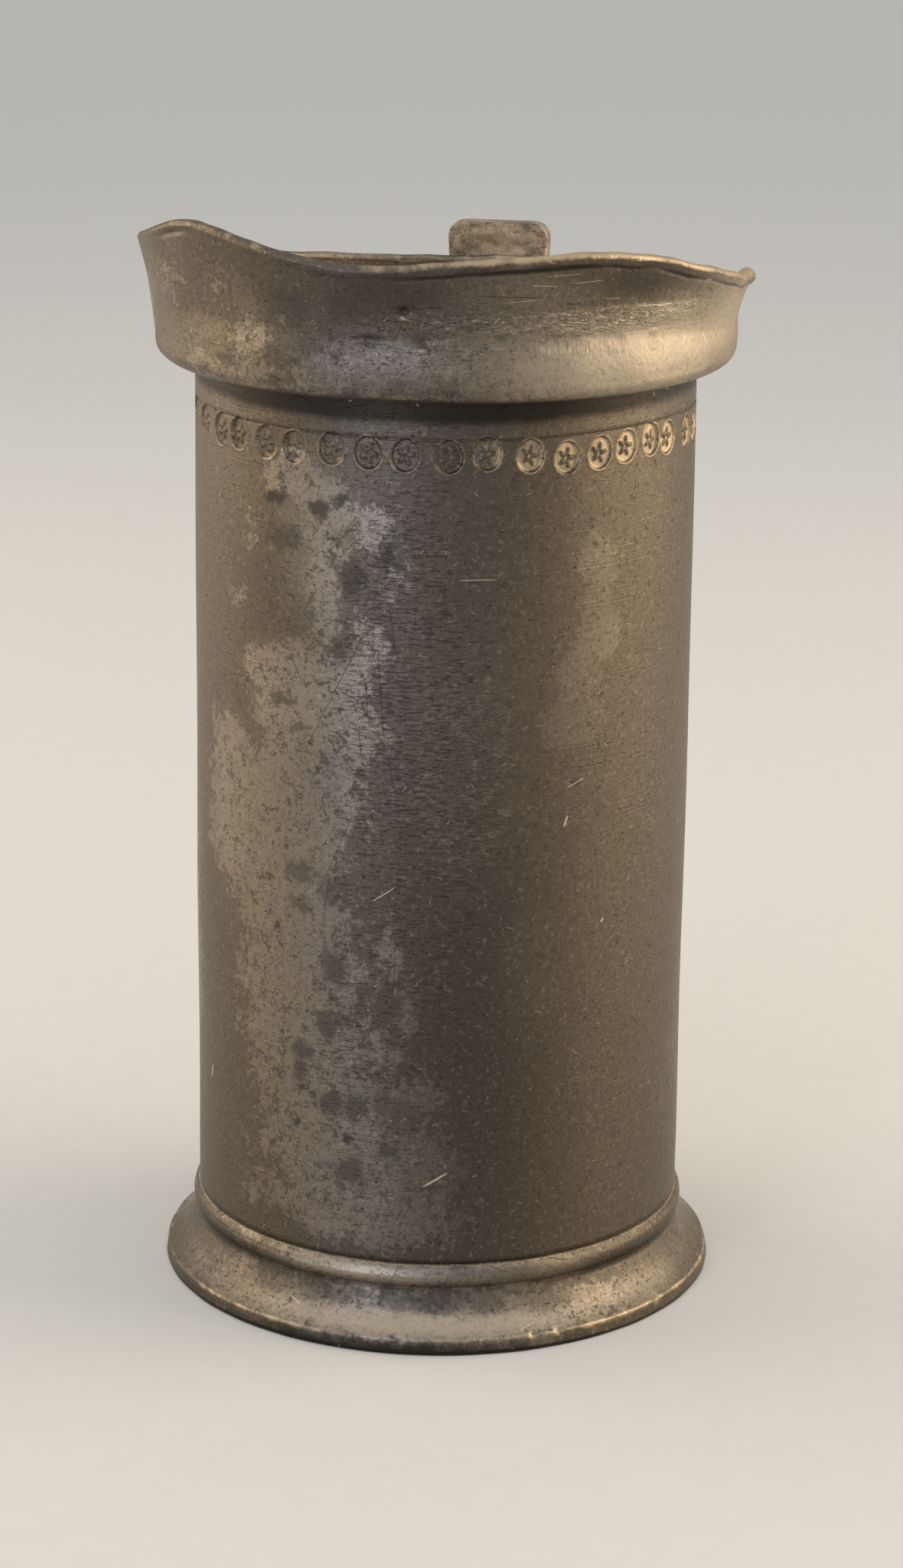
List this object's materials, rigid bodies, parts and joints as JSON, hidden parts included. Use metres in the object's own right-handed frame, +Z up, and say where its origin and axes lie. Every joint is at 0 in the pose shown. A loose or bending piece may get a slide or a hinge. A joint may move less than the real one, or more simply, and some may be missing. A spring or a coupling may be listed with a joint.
{
  "type": "pewter pouring jug",
  "caption": "Straight-sided pewter pouring measure on a moulded foot, with a scoop-shaped flared collar and a flat strap handle.",
  "frame": {"origin": "centre of the foot's resting ring, on the axis of the tube, at table height", "axes": "+Z up along the tube's axis, -Y towards the pouring lip, +Y towards the handle, +X to the pourer's left"},
  "size_m": [0.1107, 0.1508, 0.2048],
  "materials": {
    "pewter": "old pewter, satin, warm grey-brown with pale blotches, dark spots, scratches and worn bright edges",
    "solder": "dull soft-solder seam"
  },
  "bodies": {
    "root": {"body": "pewter", "base_disc": "pewter", "foot_ring": "pewter", "collar": "pewter", "handle": "pewter", "collar_solder": "solder", "base_solder": "solder", "foot_solder": "solder", "handle_top_solder": "solder", "handle_foot_solder": "solder"}
  },
  "joints": []
}
